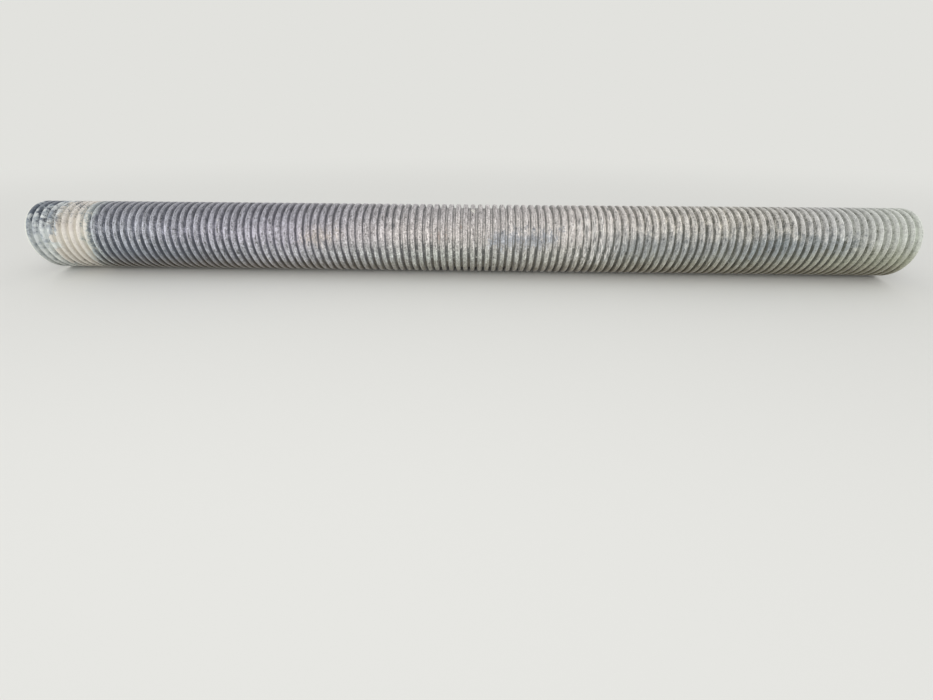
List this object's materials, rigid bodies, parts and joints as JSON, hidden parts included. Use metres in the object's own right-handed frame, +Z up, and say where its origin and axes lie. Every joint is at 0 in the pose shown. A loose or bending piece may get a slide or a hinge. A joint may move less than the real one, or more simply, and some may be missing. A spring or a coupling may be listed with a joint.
{
  "type": "corrugated plastic culvert pipe",
  "caption": "Black twin-wall corrugated plastic culvert pipe with plain sawn ends, smooth bore and evenly spaced hollow rings, greyed by cement dust.",
  "frame": {"origin": "on the pipe's axis, half way along it", "axes": "+X along the pipe to the right in the picture, +Z up as the pipe lies"},
  "size_m": [6.0096, 0.4608, 0.4608],
  "materials": {
    "pipe_plastic": "matte"
  },
  "bodies": {
    "root": {"culvert_pipe": "pipe_plastic"}
  },
  "joints": []
}
